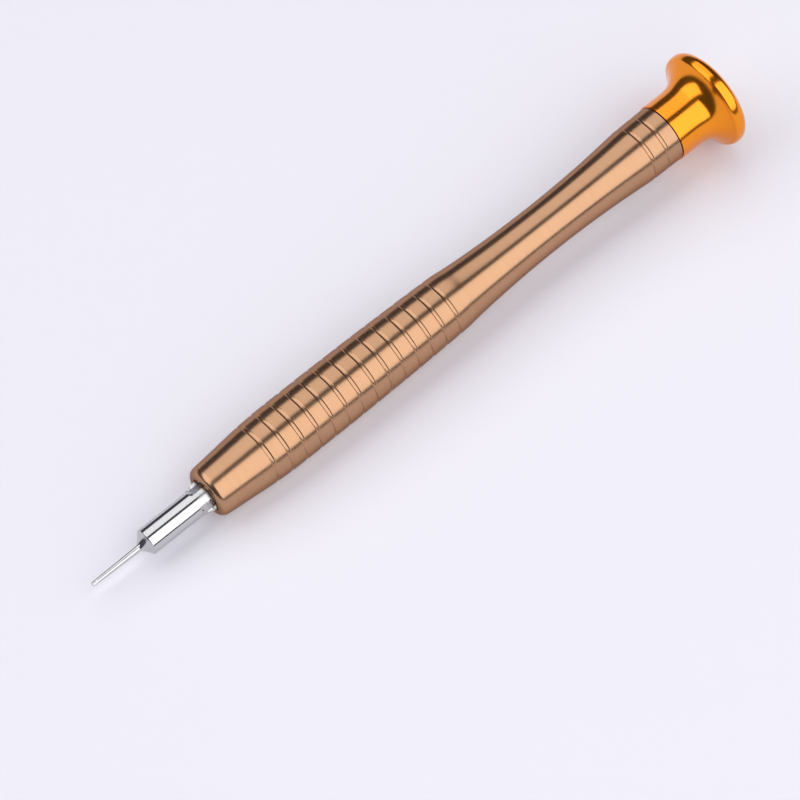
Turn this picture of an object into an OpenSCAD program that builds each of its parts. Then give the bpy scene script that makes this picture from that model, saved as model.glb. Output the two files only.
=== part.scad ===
// Watchmaker screwdriver with a fixed star blade and a finger cap that spins on a steel stud.
// Millimetres. The tool lies along X: the working tip ends at the origin and +X runs to the cap.

/* [Blade] */
// Diameter of the star tip over its lobes
tip_d = 0.7; // [0.6:0.05:0.9]
// Length of the flutes that form the star
star_l = 0.6; // [0.4:0.1:1]
// Diameter of the needle where it meets the shoulder
needle_d = 0.98; // [0.92:0.02:1.4]
// Distance from the tip to the needle's root
needle_l = 8.1; // [7:0.1:9]
// Distance from the tip to the shank's front edge
shoulder_x = 9.5; // [9.3:0.1:11]
// Diameter of the blade's round shank
shank_d = 4; // [3.6:0.1:4.4]
// Distance from the tip to the shank's buried end
blade_l = 44; // [38:1:50]

/* [Blade ears] */
// Where the staked ears start to rise from the shank
ear_x = 17.7; // [17:0.1:18.4]
// Radius of the ears at their crest
ear_r = 2.42; // [2.25:0.01:2.5]
// Thickness of an ear across the shank
ear_t = 0.8; // [0.5:0.1:1.2]
// Turn of the pair of ears about the blade, from level
ear_turn = 21; // [0:1:90]
// Depth of the punch marks beside each ear
punch_depth = 0.22; // [0.1:0.02:0.3]

/* [Handle] */
// Distance from the tip to the handle's front face
handle_x = 19.95; // [19.6:0.05:20.5]
// Distance from the tip to the handle's rear face
handle_end = 104.6; // [104:0.1:105.2]
// Greatest radius of the grip
grip_r = 4.79; // [4.6:0.01:5]
// Radius at the waist behind the grip
waist_r = 3.555; // [3.3:0.005:3.8]
// Where the waist is thinnest
waist_x = 81.8; // [80:0.1:83]
// Radius of the round on the handle's nose
nose_round = 1.2; // [0.8:0.05:1.2]
// Radius of the recess in the mouth, around the ears
mouth_r = 2.55; // [2.5:0.05:2.7]

/* [Grip grooves] */
// Number of grooves round the grip
grip_grooves = 14; // [10:1:14]
// Centre of the first grip groove
first_groove = 29.3; // [29.2:0.1:30]
// Distance from one groove to the next
groove_pitch = 2.58; // [2.4:0.02:2.64]
// Number of grooves near the cap
rear_grooves = 2; // [1:1:2]
// Centre of the first rear groove
rear_groove = 99.7; // [99.6:0.1:100.2]
// Nose radius of the tool that cuts the grooves
groove_tool = 0.52; // [0.4:0.02:0.8]
// Depth of each groove
groove_depth = 0.12; // [0.06:0.01:0.16]

/* [Spinning cap] */
// Gap between the handle and the cap
seam = 0.12; // [0.08:0.01:0.2]
// Radius of the cap's neck
neck_r = 4.54; // [4.48:0.01:4.6]
// Greatest radius of the cap's rounded rim
flange_r = 7.56; // [7.3:0.02:8]
// Radius of the crease, where the flare meets the rounded rim
crease_r = 7.12; // [6.8:0.02:7.2]
// Distance from the tip to the cap's end face
cap_end = 114.55; // [114.3:0.05:115]
// How late the flare opens between the neck and the rim: a higher power keeps the neck straight for longer
flare_power = 3.3; // [2.8:0.1:3.8]
// Outer radius of the flat end face
face_r = 5.9; // [5.2:0.1:6.4]
// Radius of the pressed-in end plug
plug_r = 4.2; // [3.8:0.1:4.4]
// Depth of the dish in the plug
dish_depth = 0.75; // [0.4:0.05:0.9]

/* [Spindle] */
// Radius of the stud's journal, on which the cap turns
journal_r = 1.2; // [1:0.05:1.4]
// Radial running clearance in the bush
running = 0.03; // [0.02:0.01:0.08]
// Radius of the stud's press-fitted root
root_r = 1.5; // [1.3:0.05:1.7]
// Radius of the thrust ball
ball_r = 0.75; // [0.6:0.05:0.8]

/* [Hidden] */
smooth = 96;         // sides drawn on a turned part
small = 48;          // sides drawn on a small pin or hole

// Blade
shank_r = shank_d / 2;
tip_r = tip_d / 2;
lobes = 5;
flute_r = 0.1;
flute_out = 0.02;               // the flutes are centred just outside the lobes
ear_crest_x = handle_x + 0.1;   // the ears reach their full height at the mouth
ear_end = 25;                   // and end inside the handle
ear_slot = 0.02;                // clearance that the ears cut for themselves
punch_w = 1.9;
punch_end = 22.6;
punch_turn = 34;                // the punch marks lie this far round from each ear
tail_chamfer = 0.4;

// Handle outline: a cone, a blend, a long crowned grip, a hollow waist and a short rear band
blend_start = 28;
blend_end = 34;
blend_arc = 70;
grip_top = 38;                  // where the crown is highest
grip_arc = 870;
grip_end = 64.2;
waist_arc = 190;
band_start = 99;
band_slope = 0.014;
recess_depth = 3.5;
bore_end = blade_l + 0.3;       // the blade's bore runs a little past the blade
drill_point = 0.6;              // rise of the drill's cone over its radius
last_groove = first_groove + (grip_grooves - 1) * groove_pitch;
groove_half = sqrt(pow(groove_tool, 2) - pow(groove_tool - groove_depth, 2));
mouth_chamfer = 0.15;
edge = 0.08;                    // a broken edge

// Cap and spindle stations along X
end_float = 0.03;               // play between the turning faces
cap_x = handle_end + seam;
flare_x = 107.5;
crease_x = 112.2;
rim_x = 113.2;                  // where the rim is widest
collar_r = 2.5;
collar_l = 1;
collar_x = handle_end - 1.1;
stud_x = 96;
washer_x = collar_x + collar_l;
washer_l = 0.3;
bush_x = washer_x + washer_l + end_float;
bush_flange_r = 2.9;
bush_flange_l = 0.55;
bush_r = 2.2;
bush_end = 108.6;
ring_washer_x = bush_end + end_float;
ring_x = ring_washer_x + washer_l + end_float;
ring_l = 0.3;
ring_r = 2.15;
teeth = 6;
tooth_slot = 0.35;              // width of the slots that part the ring's teeth
tooth_root_r = 1.75;            // how far out the slots reach
stud_end = 110.6;
stud_chamfer = 0.2;
cup_r = 0.7;
ball_x = stud_end - cup_r + ball_r * sqrt(2);
cavity_r = 3.2;
plug_x = 112.6;
plug_boss_r = 1.8;
plug_boss_x = ball_x + ball_r + end_float;
dish_r = plug_r - 0.4;

// How far a circle of radius R falls away at a distance d from its top
function drop(d, R) = R - sqrt(R * R - d * d);

// Slope of the nose cone, which meets the blend without a corner
nose_slope = tan(asin((blend_end - blend_start) / blend_arc));

// Radius of each plain stretch of the handle at a station along X
function grip_curve(x) = grip_r - drop(x - grip_top, grip_arc);
function blend_curve(x) = grip_curve(blend_end) - drop(blend_end - x, blend_arc);
function waist_curve(x) = waist_r + drop(x - waist_x, waist_arc);

// Radius of the plain handle, without its grooves
function plain_r(x) =
    x < blend_start ? blend_curve(blend_start) - (blend_start - x) * nose_slope :
    x < blend_end ? blend_curve(x) :
    x < grip_end ? grip_curve(x) :
    x < band_start ? waist_curve(x) :
    waist_curve(band_start) + (x - band_start) * band_slope;

// Depth that a groove's tool takes at a distance d from the groove's centre
function groove_cut(d) =
    abs(d) >= groove_half ? 0 : sqrt(pow(groove_tool, 2) - d * d) - (groove_tool - groove_depth);

// Outline points of a plain stretch, and of a row of grooves, as [radius, x]
function plain(from, to, steps) =
    [for (i = [0:steps]) let (x = from + (to - from) * i / steps) [plain_r(x), x]];
function grooved(first, count) =
    [for (n = [0:count - 1], k = [-4:4])
        let (d = k * groove_half / 4, x = first + n * groove_pitch)
            [plain_r(x + d) - groove_cut(d), x + d]];

// Points on an arc, as [radius, x], from angle a to b, where 0 points away from the axis and 90 along +X
function arc(r, x, R, a, b, steps) =
    [for (i = [0:steps]) let (t = a + (b - a) * i / steps) [r + R * cos(t), x + R * sin(t)]];

// A solid turned about the X axis from an outline of [radius, x] points
module turned(outline, sides = smooth) {
    rotate([0, 90, 0]) rotate_extrude($fn = sides) polygon(outline);
}

// A plain drum or ring along X
module ring(x, length, outer, inner = 0) {
    translate([x, 0, 0]) rotate([0, 90, 0]) difference() {
        cylinder(h = length, r = outer, $fn = smooth);
        if (inner > 0) translate([0, 0, -1]) cylinder(h = length + 2, r = inner, $fn = small);
    }
}

// Chrome vanadium blade: needle, shoulder, shank and the ears that key it into the handle
module blade() {
    color("silver") difference() {
        union() {
            turned(concat(
                [[0, 0], [tip_r, 0], [needle_d / 2, needle_l]],
                // the hollow shoulder is ground with a small radius at the needle's root
                [for (i = [1:5]) let (t = i / 5)
                    [needle_d / 2 + (shank_r - 0.05 - needle_d / 2) * pow(t, 1.25),
                     needle_l + (shoulder_x - 0.04 - needle_l) * t]],
                [[shank_r, shoulder_x], [shank_r, blade_l - tail_chamfer],
                 [shank_r - tail_chamfer, blade_l], [0, blade_l]]));
            rotate([ear_turn, 0, 0]) ears(0);
        }
        star_flutes();
        for (side = [0, 180], flank = [-1, 1])
            rotate([ear_turn + side + flank * punch_turn, 0, 0]) punch_mark();
    }
}

// Two thin fins on opposite sides of the shank, grown by a clearance for the slots that they cut
module ears(grow) {
    for (side = [-1, 1])
        translate([0, 0, -ear_t / 2 - grow]) linear_extrude(ear_t + 2 * grow)
            polygon([[ear_x, 0], [ear_x, side * shank_r * 0.96], [ear_x + 0.9, side * (shank_r + 0.22)],
                     [ear_crest_x, side * (ear_r + grow)], [ear_end - 0.4, side * (ear_r + grow)],
                     [ear_end + grow, side * shank_r * 0.96], [ear_end + grow, 0]]);
}

// The flat that one punch leaves on the shank when an ear is raised
module punch_mark() {
    translate([0, shank_r - punch_depth, 0])
        linear_extrude(punch_w, center = true)
            polygon([[ear_x + 0.2, punch_depth], [ear_x + 0.8, 0], [punch_end - 0.6, 0],
                     [punch_end, punch_depth], [punch_end, 1], [ear_x + 0.2, 1]]);
}

// Five round flutes leave the five lobes of the star
module star_flutes() {
    for (i = [0:lobes - 1])
        rotate([i * 360 / lobes + 90, 0, 0]) translate([-1, 0, tip_r + flute_out])
            rotate([0, 90, 0]) cylinder(h = 1 + star_l, r = flute_r, $fn = small);
}

// Turned aluminium handle with a mouth recess, a blade bore and a stud bore
module handle() {
    nose_x = handle_x + nose_round;
    color("sienna") difference() {
        turned(concat(
            [[0, handle_x]],
            arc(plain_r(nose_x) - nose_round, nose_x, nose_round, -90, -4, 8),
            plain(nose_x, blend_start, 1),
            [for (x = [blend_start + 0.25:0.25:first_groove - groove_half - 0.1]) [plain_r(x), x]],
            grooved(first_groove, grip_grooves),
            plain(last_groove + groove_half + 0.1, grip_end, 1),
            plain(grip_end + 0.3, band_start, 28),
            grooved(rear_groove, rear_grooves),
            [[plain_r(handle_end), handle_end - edge], [plain_r(handle_end) - edge, handle_end],
             [0, handle_end]]));
        // mouth recess with a broken edge, blade bore and its drill point
        turned([[0, handle_x - 1], [mouth_r + mouth_chamfer + 1, handle_x - 1],
                [mouth_r, handle_x + mouth_chamfer], [mouth_r, handle_x + recess_depth],
                [shank_r, handle_x + recess_depth], [shank_r, bore_end],
                [0, bore_end + shank_r * drill_point]]);
        rotate([ear_turn, 0, 0]) ears(ear_slot);
        // seat of the stud's collar and the press-fit bore behind it
        turned([[0, stud_x - 0.3], [root_r, stud_x - 0.3], [root_r, collar_x], [collar_r + 0.1, collar_x],
                [collar_r + 0.1, handle_end + 1], [0, handle_end + 1]]);
    }
}

// Steel stud: a root pressed into the handle, a collar, a plain journal and a ball cup
module pivot_stud() {
    color("gray") turned([
        [0, stud_x], [root_r - 0.3, stud_x], [root_r, stud_x + 0.3], [root_r, collar_x], [collar_r, collar_x],
        [collar_r, washer_x], [journal_r, washer_x], [journal_r, stud_end - stud_chamfer],
        [journal_r - stud_chamfer, stud_end], [cup_r, stud_end], [0, stud_end - cup_r]]);
}

// Thin plastic washer between the stud's collar and the cap's bush
module thrust_washer() {
    color("white") ring(washer_x, washer_l, collar_r - 0.05, journal_r + running);
}

// Steel washer between the cap's bush and the retaining ring
module ring_washer() {
    color("lightgray") ring(ring_washer_x, washer_l, ring_r + 0.3, journal_r + running);
}

// Spring steel ring whose teeth bite on the stud when it is pushed on from the end
module retaining_ring() {
    color("dimgray") difference() {
        ring(ring_x, ring_l, ring_r, journal_r);
        for (i = [0:teeth - 1])
            rotate([i * 360 / teeth, 0, 0]) translate([ring_x - 1, -tooth_slot / 2, 0])
                cube([ring_l + 2, tooth_slot, tooth_root_r]);
    }
}

// Hardened ball that carries the finger's push from the cap to the stud
module thrust_ball() {
    color("silver") translate([ball_x, 0, 0]) sphere(r = ball_r, $fn = small);
}

// Flared finger cap, bored for its bush, its retaining ring and its end plug
module cap() {
    color("orange") difference() {
        turned(concat(
            [[0, cap_x], [neck_r - edge, cap_x], [neck_r, cap_x + edge]],
            [for (t = [0, 0.2, 0.32, for (i = [0:12]) 0.4 + i * 0.05])
                [neck_r + (crease_r - neck_r) * pow(t, flare_power), flare_x + (crease_x - flare_x) * t]],
            // the rim swells from the crease and rounds off into the flat end face
            [for (i = [1:5]) [crease_r + (flange_r - crease_r) * sin(i * 18),
                              rim_x - (rim_x - crease_x) * cos(i * 18)]],
            [for (i = [1:8]) [face_r + (flange_r - face_r) * cos(i * 11.25),
                              rim_x + (cap_end - rim_x) * sin(i * 11.25)]],
            [[0, cap_end]]));
        turned([[0, cap_x - 1], [bush_flange_r, cap_x - 1], [bush_flange_r, bush_x + bush_flange_l],
                [bush_r, bush_x + bush_flange_l], [bush_r, bush_end],
                [cavity_r, bush_end], [cavity_r, plug_x],
                [plug_r, plug_x], [plug_r, cap_end + 1], [0, cap_end + 1]]);
    }
}

// Flanged brass bush pressed into the cap's neck
module cap_bush() {
    bore = journal_r + running;
    color("gold") turned([
        [bore, bush_x], [bush_flange_r, bush_x], [bush_flange_r, bush_x + bush_flange_l],
        [bush_r, bush_x + bush_flange_l], [bush_r, bush_end], [bore, bush_end]]);
}

// Dished plug that closes the cap, with a boss that bears on the ball
module cap_plug() {
    dish_arc = (pow(dish_r, 2) + pow(dish_depth, 2)) / (2 * dish_depth);
    color("orange") turned(concat(
        [[0, plug_boss_x], [plug_boss_r, plug_boss_x], [plug_boss_r, plug_x], [plug_r, plug_x],
         [plug_r, cap_end - edge], [plug_r - edge, cap_end]],
        [for (i = [0:10]) let (r = dish_r * (1 - i / 10)) [r, cap_end - dish_depth + drop(r, dish_arc)]]));
}

blade();
handle();
pivot_stud();
thrust_washer();
ring_washer();
retaining_ring();
thrust_ball();
cap();
cap_bush();
cap_plug();
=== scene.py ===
from math import asin, atan2, cos, pi, radians, sin, sqrt, tan

import bmesh
import bpy
from mathutils import Matrix, Vector, noise


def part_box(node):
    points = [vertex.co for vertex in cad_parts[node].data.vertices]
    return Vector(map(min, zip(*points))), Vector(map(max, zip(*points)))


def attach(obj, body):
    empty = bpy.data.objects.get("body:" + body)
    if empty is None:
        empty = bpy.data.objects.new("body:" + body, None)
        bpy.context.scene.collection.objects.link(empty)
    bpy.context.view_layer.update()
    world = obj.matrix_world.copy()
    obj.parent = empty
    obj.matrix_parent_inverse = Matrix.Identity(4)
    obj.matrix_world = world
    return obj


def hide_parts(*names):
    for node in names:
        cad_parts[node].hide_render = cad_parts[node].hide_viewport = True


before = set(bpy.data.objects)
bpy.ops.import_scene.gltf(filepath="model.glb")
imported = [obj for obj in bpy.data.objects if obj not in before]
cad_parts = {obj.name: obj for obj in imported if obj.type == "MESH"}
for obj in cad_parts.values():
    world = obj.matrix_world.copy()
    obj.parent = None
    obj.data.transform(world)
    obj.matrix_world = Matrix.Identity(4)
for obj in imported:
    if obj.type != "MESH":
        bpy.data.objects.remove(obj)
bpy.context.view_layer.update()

# The tool lies on a table with its belly and the cap's rim touching, so the table's surface slopes
# by about two degrees in the tool's own frame. Everything that stands around the tool, the camera
# and the lamps, is set up from that surface.
mm = 0.001
handle_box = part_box("handle")
cap_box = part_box("cap")
belly_x = 0.036
belly_r = handle_box[1].z
rim_x = 113.2 * mm
rim_r = cap_box[1].z
table_slope = (rim_r - belly_r) / (rim_x - belly_x)
table_up = Vector((table_slope, 0, 1)).normalized()
belly_touch = Vector((belly_x, 0, -belly_r))

# The camera stands well back with a long lens and looks down on the tool from the tip's side.
aim = Vector((0.050047, -0.005834, -0.00247))
camera_turn = radians(-38.7)
camera_rise = radians(61.2)
camera_away = 0.686
camera_roll = radians(-0.306)
back = Vector((sin(camera_turn) * cos(camera_rise), -cos(camera_turn) * cos(camera_rise), sin(camera_rise)))
level = table_up.cross(back).normalized()
upright = back.cross(level)
right = level * cos(camera_roll) + upright * sin(camera_roll)
up = back.cross(right)
camera_data = bpy.data.cameras.new("camera")
camera_data.sensor_width = 36
camera_data.lens = 225
camera_data.clip_start = 0.05
camera_data.clip_end = 20
camera = bpy.data.objects.new("camera", camera_data)
camera.matrix_world = Matrix((right, up, back)).transposed().to_4x4()
camera.location = aim + back * camera_away
bpy.context.scene.collection.objects.link(camera)
bpy.context.scene.camera = camera
bpy.context.scene.view_settings.view_transform = "Standard"


# The table is a plain pale board, matt and very slightly cool, wide enough to fill every view.
class Wire:
    """A socket of a material's node tree, so that shader maths reads as plain arithmetic."""

    def __init__(self, tree, socket):
        self.tree = tree
        self.socket = socket

    def node(self, kind, inputs, output=0, **settings):
        made = self.tree.nodes.new(kind)
        for name, value in settings.items():
            setattr(made, name, value)
        for name, value in inputs.items():
            if isinstance(value, Wire):
                self.tree.links.new(value.socket, made.inputs[name])
            else:
                made.inputs[name].default_value = value
        return Wire(self.tree, made.outputs[output])

    def maths(self, operation, first, second):
        return self.node("ShaderNodeMath", {0: first, 1: second}, operation=operation)

    def __add__(self, other):
        return self.maths("ADD", self, other)

    def __radd__(self, other):
        return self.maths("ADD", other, self)

    def __sub__(self, other):
        return self.maths("SUBTRACT", self, other)

    def __rsub__(self, other):
        return self.maths("SUBTRACT", other, self)

    def __mul__(self, other):
        return self.maths("MULTIPLY", self, other)

    def __rmul__(self, other):
        return self.maths("MULTIPLY", other, self)


def new_material(name, metallic, roughness, colour, **constants):
    """A principled material, its shader, and the object coordinates that its patterns read."""
    material = bpy.data.materials.new(name)
    material.use_nodes = True
    shader = material.node_tree.nodes["Principled BSDF"]
    shader.inputs["Metallic"].default_value = metallic
    shader.inputs["Roughness"].default_value = roughness
    shader.inputs["Base Color"].default_value = (*colour, 1)
    for socket, value in constants.items():
        shader.inputs[socket.replace("_", " ")].default_value = value
    place = Wire(material.node_tree, None).node("ShaderNodeTexCoord", {}, output="Object")
    return material, shader, place


def drive(shader, socket, wire):
    wire.tree.links.new(wire.socket, shader.inputs[socket])


table_material, table_shader, place = new_material("table_board", 0, 0.85, (0.785, 0.772, 0.832))
mottle = place.node("ShaderNodeTexNoise", {"Vector": place, "Scale": 9.0, "Detail": 2.0})
drive(table_shader, "Base Color", place.node("ShaderNodeMix", {
    "Factor": mottle, 6: (0.78, 0.767, 0.827, 1), 7: (0.79, 0.777, 0.837, 1)}, output=2, data_type="RGBA"))
table_mesh = bmesh.new()
bmesh.ops.create_grid(table_mesh, x_segments=1, y_segments=1, size=4)
lay_flat = Vector((0, 0, 1)).rotation_difference(table_up).to_matrix().to_4x4()
bmesh.ops.transform(table_mesh, matrix=Matrix.Translation(belly_touch) @ lay_flat, verts=table_mesh.verts)
table_data = bpy.data.meshes.new("table")
table_mesh.to_mesh(table_data)
table = bpy.data.objects.new("table", table_data)
table.data.materials.append(table_material)
bpy.context.scene.collection.objects.link(table)

# Two rows of soft lamps hang along the tool, one overhead and a little behind it and one low in
# front. The dark gap between them is what draws the dark lines along polished metal. Each row is
# set in parts, so that what the metal mirrors and how deep the shadows lie can be set separately:
# a shine seen only in reflections, a lamp that casts shadows, and in front a fill that casts none.
# They hang a centimetre apart, because lamps in exactly the same place hide one another.
def soft_lamp(name, turns, ends, shine, matt, fill=0, away=0.9):
    """A lamp that fills a span of angles round the tool, from straight up, and a span along it."""
    middle = radians(sum(turns) / 2)
    towards = Vector((0, -sin(middle), cos(middle)))
    across = towards.cross(Vector((1, 0, 0)))
    start, end = (away * tan(radians(angle)) for angle in ends)
    for part, brightness, step in (("shine", shine, 0), ("matt", matt, 0.01), ("fill", fill, 0.02)):
        if not brightness:
            continue
        data = bpy.data.lights.new(name + "_" + part, "AREA")
        data.shape = "RECTANGLE"
        data.size = end - start
        data.size_y = 2 * away * tan(radians(turns[1] - turns[0]) / 2)
        data.energy = brightness * data.size * data.size_y * pi
        data.use_shadow = part != "fill"
        lamp = bpy.data.objects.new(name + "_" + part, data)
        lamp.visible_diffuse = part != "shine"
        lamp.visible_glossy = part == "shine"
        lamp.matrix_world = Matrix((Vector((1, 0, 0)), across, towards)).transposed().to_4x4()
        lamp.location = Vector(((start + end) / 2 + 0.06, 0, 0)) + towards * (away + step)
        bpy.context.scene.collection.objects.link(lamp)


soft_lamp("front_lamp", (12.5, 79.3), (-31, 66), shine=1.86, matt=0.16, fill=1.68)
soft_lamp("back_lamp_near", (-57.5, -5), (-61, 0), shine=1.8, matt=1.74)
soft_lamp("back_lamp_far", (-57.5, -5), (0, 32), shine=1.35, matt=1.3)
room = bpy.data.worlds.new("dim_room")
bpy.context.scene.world = room
room.use_nodes = True
room.node_tree.nodes["Background"].inputs["Color"].default_value = (0.09, 0.09, 0.115, 1)


# The blade is one piece of chromium vanadium steel, polished and plated bright. Its needle tapers
# to a five-lobed star, and a pair of ears is punched up from its shank to key it into the handle,
# where it is pressed home.
def turned(name, outline, sides, closed=False):
    """A solid spun about the tool's axis from an outline of (x, radius) in millimetres."""
    work = bmesh.new()
    points = [work.verts.new((x * mm, 0, r * mm)) for x, r in outline]
    edges = [work.edges.new(pair) for pair in zip(points, points[1:])]
    if closed:
        edges.append(work.edges.new((points[-1], points[0])))
    bmesh.ops.spin(work, geom=points + edges, cent=(0, 0, 0), axis=(1, 0, 0), dvec=(0, 0, 0),
                   angle=2 * pi, steps=sides, use_merge=True, use_duplicate=False)
    bmesh.ops.remove_doubles(work, verts=work.verts, dist=0.0002 * mm)
    bmesh.ops.recalc_face_normals(work, faces=work.faces)
    return work


def finished(name, work, material, sharp=32):
    """Makes the piece's object, smooth all over apart from its true corners."""
    data = bpy.data.meshes.new(name)
    work.to_mesh(data)
    work.free()
    data.shade_smooth()
    data.set_sharp_from_angle(angle=radians(sharp))
    piece = bpy.data.objects.new(name, data)
    piece.data.materials.append(material)
    bpy.context.scene.collection.objects.link(piece)
    return piece


def stretch(start, end, step):
    """Stations from start to end, evenly spaced and no further apart than step."""
    count = max(1, round((end - start) / step))
    return [start + (end - start) * i / count for i in range(count + 1)]


def ease(value):
    """A smooth rise from 0 to 1."""
    value = min(1, max(0, value))
    return value * value * (3 - 2 * value)


shank_r = 2.0
tip_r = 0.35
needle_r = 0.49
needle_l = 8.1
shoulder_x = 9.5
blade_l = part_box("blade")[1].x / mm
mouth_x = handle_box[0].x / mm
ear_x = 17.7
ear_r = 2.42
ear_half = 0.4
ear_turn = radians(21)
ear_end = mouth_x + 3.4
punch_floor = shank_r - 0.22
punch_turn = radians(34)
star_l = 0.6
flute_r = 0.1
flute_away = tip_r + 0.02

outline = [(0, 0), (0, tip_r - 0.02), (0.02, tip_r)]
outline += [(x, tip_r + (needle_r - tip_r) * x / needle_l) for x in stretch(0.06, 1.1, 0.05)]
outline += [(x, tip_r + (needle_r - tip_r) * x / needle_l) for x in stretch(1.6, needle_l, 0.5)]
for step in range(1, 15):
    share = step / 14
    outline.append((needle_l + (shoulder_x - 0.06 - needle_l) * share,
                    needle_r + (shank_r - 0.07 - needle_r) * share ** 1.25))
outline += [(shoulder_x - 0.02, shank_r - 0.025), (shoulder_x + 0.02, shank_r)]
outline += [(x, shank_r) for x in stretch(shoulder_x + 0.5, ear_x - 0.3, 0.8)]
outline += [(x, shank_r) for x in stretch(ear_x - 0.2, ear_end + 0.3, 0.055)]
outline += [(x, shank_r) for x in stretch(ear_end + 2, blade_l - 0.4, 3)]
outline += [(blade_l, shank_r - 0.4), (blade_l, 0)]
work = turned("blade", outline, 216)

# The tip's flutes, the punch marks and the ears are pushed into and out of the round blade.
for vertex in work.verts:
    x, y, z = (value / mm for value in vertex.co)
    r = sqrt(y * y + z * z)
    if r < 0.05:
        continue
    turn = atan2(z, y)
    if x < star_l + 0.25:
        off = (turn - pi / 2 + pi / 5) % (2 * pi / 5) - pi / 5
        if abs(flute_away * sin(off)) < flute_r:
            floor = flute_away * cos(off) - sqrt(flute_r ** 2 - (flute_away * sin(off)) ** 2)
            r = min(r, r + (floor - r) * (1 - ease((x - star_l) / 0.25)))
    if ear_x - 0.1 < x < ear_end and r > shank_r - 0.01:
        off = (turn - ear_turn + pi / 2) % pi - pi / 2
        grain = noise.noise(Vector((x * 5.5, y * 4.5, z * 4.5)))
        fine = noise.noise(Vector((x * 13, y * 12, z * 12)) + Vector((7, 3, 1)))
        mark = ease((x - ear_x - 0.1) / 0.6) * (1 - ease((x - ear_end + 0.7) / 0.5))
        flat = punch_floor / max(0.3, cos(abs(off) - punch_turn))
        if flat < r:
            r += (flat - r) * mark
            r += (0.05 * grain + 0.03 * fine) * mark
        rise = ease((x - ear_x) / (mouth_x - ear_x)) * (ear_r - shank_r)
        aside = abs(shank_r * sin(off)) / ear_half
        crest = 1 - ease((aside - 0.55) / 0.6)
        facet = noise.cell(Vector((x * 3.1, y * 3.7 + 5, z * 3.7)))
        ragged = 0.8 + 0.34 * grain + 0.2 * fine + 0.3 * facet
        top = min(ear_r, shank_r + rise * ragged)
        r += max(0, top - r) * crest * (1 - ease((x - ear_end + 0.3) / 0.3))
    length = r / max(1e-9, sqrt(y * y + z * z))
    vertex.co.y *= length
    vertex.co.z *= length

blade_steel, shader, place = new_material("bright_blade_steel", 1, 0.09, (0.54, 0.54, 0.545))
split = place.node("ShaderNodeSeparateXYZ", {"Vector": place})
lengthways = place.node("ShaderNodeMapping", {"Vector": place, "Scale": (60.0, 2600.0, 2600.0)})
grinding = place.node("ShaderNodeTexNoise", {"Vector": lengthways, "Scale": 1.0, "Detail": 3.0})
handling = place.node("ShaderNodeTexNoise", {"Vector": place, "Scale": 420.0, "Detail": 4.0})
in_ears = place.node("ShaderNodeMapRange", {
    "Value": split, "From Min": (ear_x - 0.2) * mm, "From Max": (ear_x + 1.2) * mm})
drive(shader, "Roughness", 0.05 + 0.05 * grinding + 0.06 * handling + 0.16 * in_ears)
drive(shader, "Base Color", place.node("ShaderNodeMix", {
    "Factor": handling, 6: (0.52, 0.52, 0.525, 1), 7: (0.56, 0.56, 0.565, 1)},
    output=2, data_type="RGBA"))
drive(shader, "Normal", place.node("ShaderNodeBump", {
    "Height": grinding + 0.6 * handling * in_ears, "Strength": 0.06, "Distance": 0.00004}))
blade = finished("blade_body", work, blade_steel)
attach(blade, "tool")
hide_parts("blade")

# The handle is turned from one aluminium bar, grooved for the fingers, bored at both ends and then
# anodised bronze. The lathe leaves fine rings all along it.
grip_r = handle_box[1].z / mm
handle_end = handle_box[1].x / mm
waist_r = 3.555
waist_x = 81.8
nose_round = 1.2
cone_end = 28
blend_end = 34
blend_arc = 70
grip_top = 38
grip_arc = 870
polish_start = 63.6
polish_end = 66.4
waist_arc = 190
band_start = 99
band_slope = 0.014
mouth_r = 2.55
recess_depth = 3.5
groove_pitch = 2.58
first_groove = 29.3
rear_groove = 99.7
groove_tool = 0.52
groove_depth = 0.12
groove_half = sqrt(groove_tool ** 2 - (groove_tool - groove_depth) ** 2)
grooves = [first_groove + i * groove_pitch for i in range(14)]
grooves += [rear_groove + i * groove_pitch for i in range(2)]


def fall(distance, radius):
    """How far a circle falls away at a distance from its top."""
    return radius - sqrt(radius * radius - distance * distance)


def grip_curve(x):
    return grip_r - fall(x - grip_top, grip_arc)


def waist_curve(x):
    return waist_r + fall(x - waist_x, waist_arc)


def plain_handle(x):
    """The handle's radius with its grooves left out: cone, blend, grip, waist and rear band."""
    if x < cone_end:
        nose_slope = tan(asin((blend_end - cone_end) / blend_arc))
        return grip_curve(blend_end) - fall(blend_end - cone_end, blend_arc) - (cone_end - x) * nose_slope
    if x < blend_end:
        return grip_curve(blend_end) - fall(blend_end - x, blend_arc)
    if x < polish_start:
        return grip_curve(x)
    if x < polish_end:
        # the grip's end is polished over into the waist
        share = ease((x - polish_start) / (polish_end - polish_start))
        return grip_curve(x) * (1 - share) + waist_curve(x) * share
    if x < band_start:
        return waist_curve(x)
    return waist_curve(band_start) + (x - band_start) * band_slope


def grooved_handle(x):
    """The handle's radius with the round-nosed grooves cut into it."""
    near = min(abs(x - centre) for centre in grooves)
    if near >= groove_half:
        return plain_handle(x)
    return plain_handle(x) - sqrt(groove_tool ** 2 - near ** 2) + groove_tool - groove_depth


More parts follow.
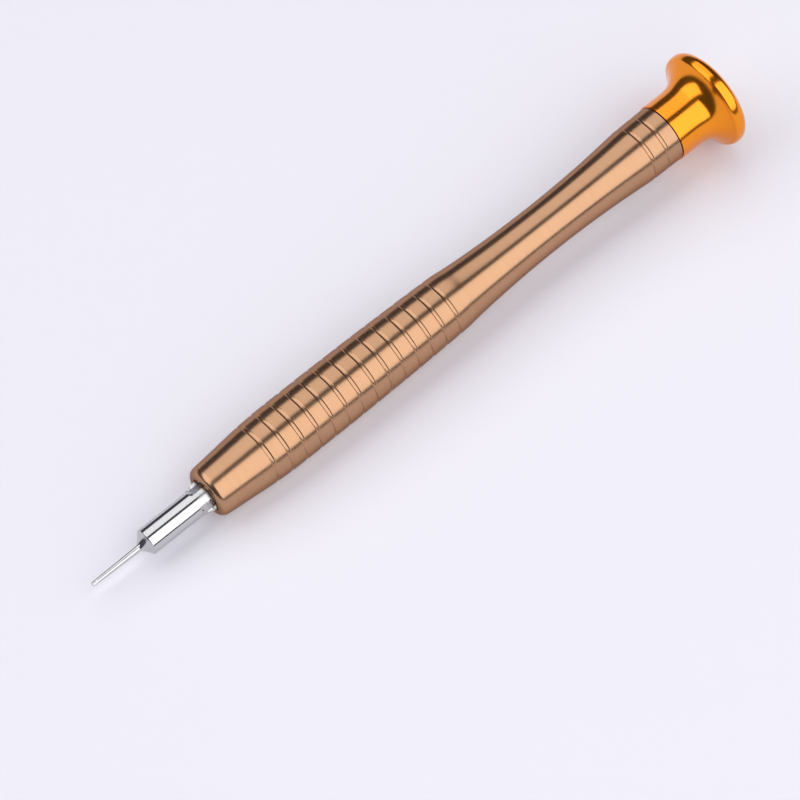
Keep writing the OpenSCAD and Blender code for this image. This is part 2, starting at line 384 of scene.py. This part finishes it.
collar_r = 2.6
collar_x = handle_end - 1.1
stud_r = 1.5
stud_hole_x = 95.7
broken = 0.03
corner = 0.008
nose_x = mouth_x + nose_round
bore_end = blade_l + 0.3
stations = set(round(x, 4) for x in stretch(nose_x + 0.1, handle_end - 0.1, 0.3))
for centre in grooves:
    stations = set(x for x in stations if abs(x - centre) > groove_half + 0.1)
    stations |= set(round(centre + groove_half * i / 8, 4) for i in range(-8, 9))
    stations |= {round(centre - groove_half - 0.04, 4), round(centre + groove_half + 0.04, 4)}
outline = [(bore_end + 1.2, 0), (bore_end, shank_r), (mouth_x + recess_depth, shank_r)]
outline += [(mouth_x + recess_depth, mouth_r)]
for x in reversed(stretch(mouth_x + 0.4, mouth_x + 2.9, 0.28)):
    outline += [(x + 0.06, mouth_r), (x + 0.03, mouth_r - 0.035)]
    outline += [(x - 0.03, mouth_r - 0.035), (x - 0.06, mouth_r)]
outline += [(mouth_x + 0.17, mouth_r), (mouth_x + 0.13, mouth_r + 0.03), (mouth_x + 0.02, mouth_r + 0.13)]
for step in range(0, 17):
    turn = radians(-90 + 86 * step / 16)
    outline.append((nose_x + nose_round * sin(turn), plain_handle(nose_x) - nose_round * (1 - cos(turn))))
outline += [(x, grooved_handle(x)) for x in sorted(stations)]
rear_r = plain_handle(handle_end)
outline += [(handle_end - broken, rear_r), (handle_end - corner, rear_r - corner)]
outline += [(handle_end, rear_r - broken)]
outline += [(handle_end, collar_r + broken), (handle_end - broken, collar_r), (collar_x, collar_r)]
outline += [(collar_x, stud_r), (stud_hole_x, stud_r), (stud_hole_x, 0)]
work = turned("handle", outline, 192)


def lathe_rings(place, fine, broad):
    """Rings left by the lathe, fine tool marks over broader waves, which vary along the axis only."""
    along = place.node("ShaderNodeSeparateXYZ", {"Vector": place})
    marks = place.node("ShaderNodeTexNoise", {
        "W": along * (1 / (fine * mm)), "Scale": 1.0, "Detail": 2.0}, noise_dimensions="1D")
    waves = place.node("ShaderNodeTexNoise", {
        "W": along * (1 / (broad * mm)), "Scale": 1.0, "Detail": 1.0}, noise_dimensions="1D")
    return marks, waves


bronze, shader, place = new_material(
    "bronze_anodised", 1, 0.22, (0.462, 0.264, 0.152), Specular_Tint=(0.58, 0.48, 0.48, 1))
marks, waves = lathe_rings(place, 0.07, 0.9)
cloud = place.node("ShaderNodeTexNoise", {"Vector": place, "Scale": 160.0, "Detail": 3.0})
drive(shader, "Base Color", place.node("ShaderNodeMix", {
    "Factor": cloud * 0.6 + waves * 0.4, 6: (0.442, 0.248, 0.141, 1), 7: (0.482, 0.28, 0.163, 1)},
    output=2, data_type="RGBA"))
drive(shader, "Roughness", 0.16 + 0.08 * marks + 0.04 * cloud)
drive(shader, "Normal", place.node("ShaderNodeBump", {
    "Height": marks + 0.5 * waves, "Strength": 0.05, "Distance": 0.00003}))
handle = finished("handle_body", work, bronze, 24)
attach(handle, "tool")
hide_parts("handle")

# The cap is turned from aluminium, flared like a trumpet bell, polished and anodised amber. It is
# hollow for its bush, its retaining ring and its plug.
cap_x = cap_box[0].x / mm
cap_end = cap_box[1].x / mm
flange_r = cap_box[1].z / mm
neck_r = 4.54
flare_x = 107.5
flare_power = 3.3
crease_x = 112.2
crease_r = 7.12
widest_x = 113.2
face_r = 5.9
bush_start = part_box("cap_bush")[0].x / mm
bush_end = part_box("cap_bush")[1].x / mm
bush_r = 2.2
bush_flange_r = 2.9
bush_step_x = bush_start + 0.55
cavity_r = 3.2
plug_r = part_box("cap_plug")[1].z / mm
plug_x = 112.6

outline = [(cap_x, bush_flange_r), (cap_x, neck_r - broken)]
outline += [(cap_x + corner, neck_r - corner), (cap_x + broken, neck_r)]
outline += [(x, neck_r) for x in stretch(cap_x + 0.3, flare_x, 0.3)]
for step in range(1, 61):
    share = step / 60
    outline.append((flare_x + (crease_x - flare_x) * share,
                    neck_r + (crease_r - neck_r) * share ** flare_power))
for step in range(1, 19):
    turn = radians(90 * step / 18)
    outline.append((widest_x - (widest_x - crease_x) * cos(turn),
                    crease_r + (flange_r - crease_r) * sin(turn)))
for step in range(1, 25):
    turn = radians(90 * step / 24)
    outline.append((widest_x + (cap_end - widest_x) * sin(turn), face_r + (flange_r - face_r) * cos(turn)))
outline += [(cap_end, plug_r + 0.06), (cap_end - 0.05, plug_r + 0.005), (plug_x, plug_r + 0.005)]
outline += [(plug_x, cavity_r), (bush_end, cavity_r), (bush_end, bush_r), (bush_step_x, bush_r)]
outline += [(bush_step_x, bush_flange_r)]
work = turned("cap", outline, 192, closed=True)
amber, shader, place = new_material("amber_anodised", 1, 0.16, (0.90, 0.285, 0.02))
marks, waves = lathe_rings(place, 0.05, 0.6)
cloud = place.node("ShaderNodeTexNoise", {"Vector": place, "Scale": 220.0, "Detail": 3.0})
drive(shader, "Base Color", place.node("ShaderNodeMix", {
    "Factor": cloud, 6: (0.87, 0.275, 0.018, 1), 7: (0.93, 0.305, 0.026, 1)}, output=2, data_type="RGBA"))
drive(shader, "Roughness", 0.13 + 0.05 * marks + 0.03 * cloud)
drive(shader, "Normal", place.node("ShaderNodeBump", {
    "Height": marks + 0.4 * waves, "Strength": 0.03, "Distance": 0.00002}))
cap = finished("cap_body", work, amber, 24)
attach(cap, "finger_cap")
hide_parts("cap")

# The plug is a dished disc of the same amber aluminium, pressed into the cap's end, and its boss
# bears on the ball inside.
dish_r = plug_r - 0.4
dish_depth = 0.75
dish_arc = (dish_r ** 2 + dish_depth ** 2) / (2 * dish_depth)
boss_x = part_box("cap_plug")[0].x / mm
boss_r = 1.8
outline = [(boss_x, 0), (boss_x, boss_r - 0.05), (boss_x + 0.05, boss_r), (plug_x, boss_r), (plug_x, plug_r)]
outline += [(cap_end - 0.08, plug_r), (cap_end - 0.02, plug_r - 0.02), (cap_end, plug_r - 0.08)]
outline += [(cap_end, dish_r + 0.05), (cap_end - 0.01, dish_r + 0.01)]
for step in range(1, 25):
    r = dish_r * (1 - step / 24)
    outline.append((cap_end - dish_depth + fall(r, dish_arc), r))
plug = finished("plug_disc", turned("plug", outline, 160), amber, 24)
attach(plug, "finger_cap")
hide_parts("cap_plug")


# The working parts inside keep their CAD shapes. The stud and its washer are turned steel, the ring
# is blued spring steel, the ball is polished, the bush is brass and the thrust washer is nylon.
def inner_finish(node, colour, rough, metallic=1.0, tool_marks=0.06):
    material, shader, place = new_material(node + "_finish", metallic, rough, colour)
    marks, waves = lathe_rings(place, tool_marks, 0.5)
    stain = place.node("ShaderNodeTexNoise", {"Vector": place, "Scale": 700.0, "Detail": 3.0})
    dull = tuple(value * 0.82 for value in colour)
    drive(shader, "Base Color", place.node("ShaderNodeMix", {
        "Factor": stain, 6: (*dull, 1), 7: (*colour, 1)}, output=2, data_type="RGBA"))
    drive(shader, "Roughness", rough * 0.7 + rough * 0.6 * marks)
    drive(shader, "Normal", place.node("ShaderNodeBump", {
        "Height": marks + 0.5 * waves, "Strength": 0.1, "Distance": 0.00003}))
    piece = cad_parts[node]
    piece.data.materials.clear()
    piece.data.materials.append(material)


inner_finish("pivot_stud", (0.56, 0.56, 0.57), 0.22)
inner_finish("ring_washer", (0.60, 0.60, 0.61), 0.25)
inner_finish("retaining_ring", (0.10, 0.11, 0.15), 0.32)
inner_finish("thrust_ball", (0.72, 0.72, 0.73), 0.05, tool_marks=0.5)
inner_finish("cap_bush", (0.74, 0.52, 0.20), 0.2)
inner_finish("thrust_washer", (0.85, 0.85, 0.82), 0.5, metallic=0.0)
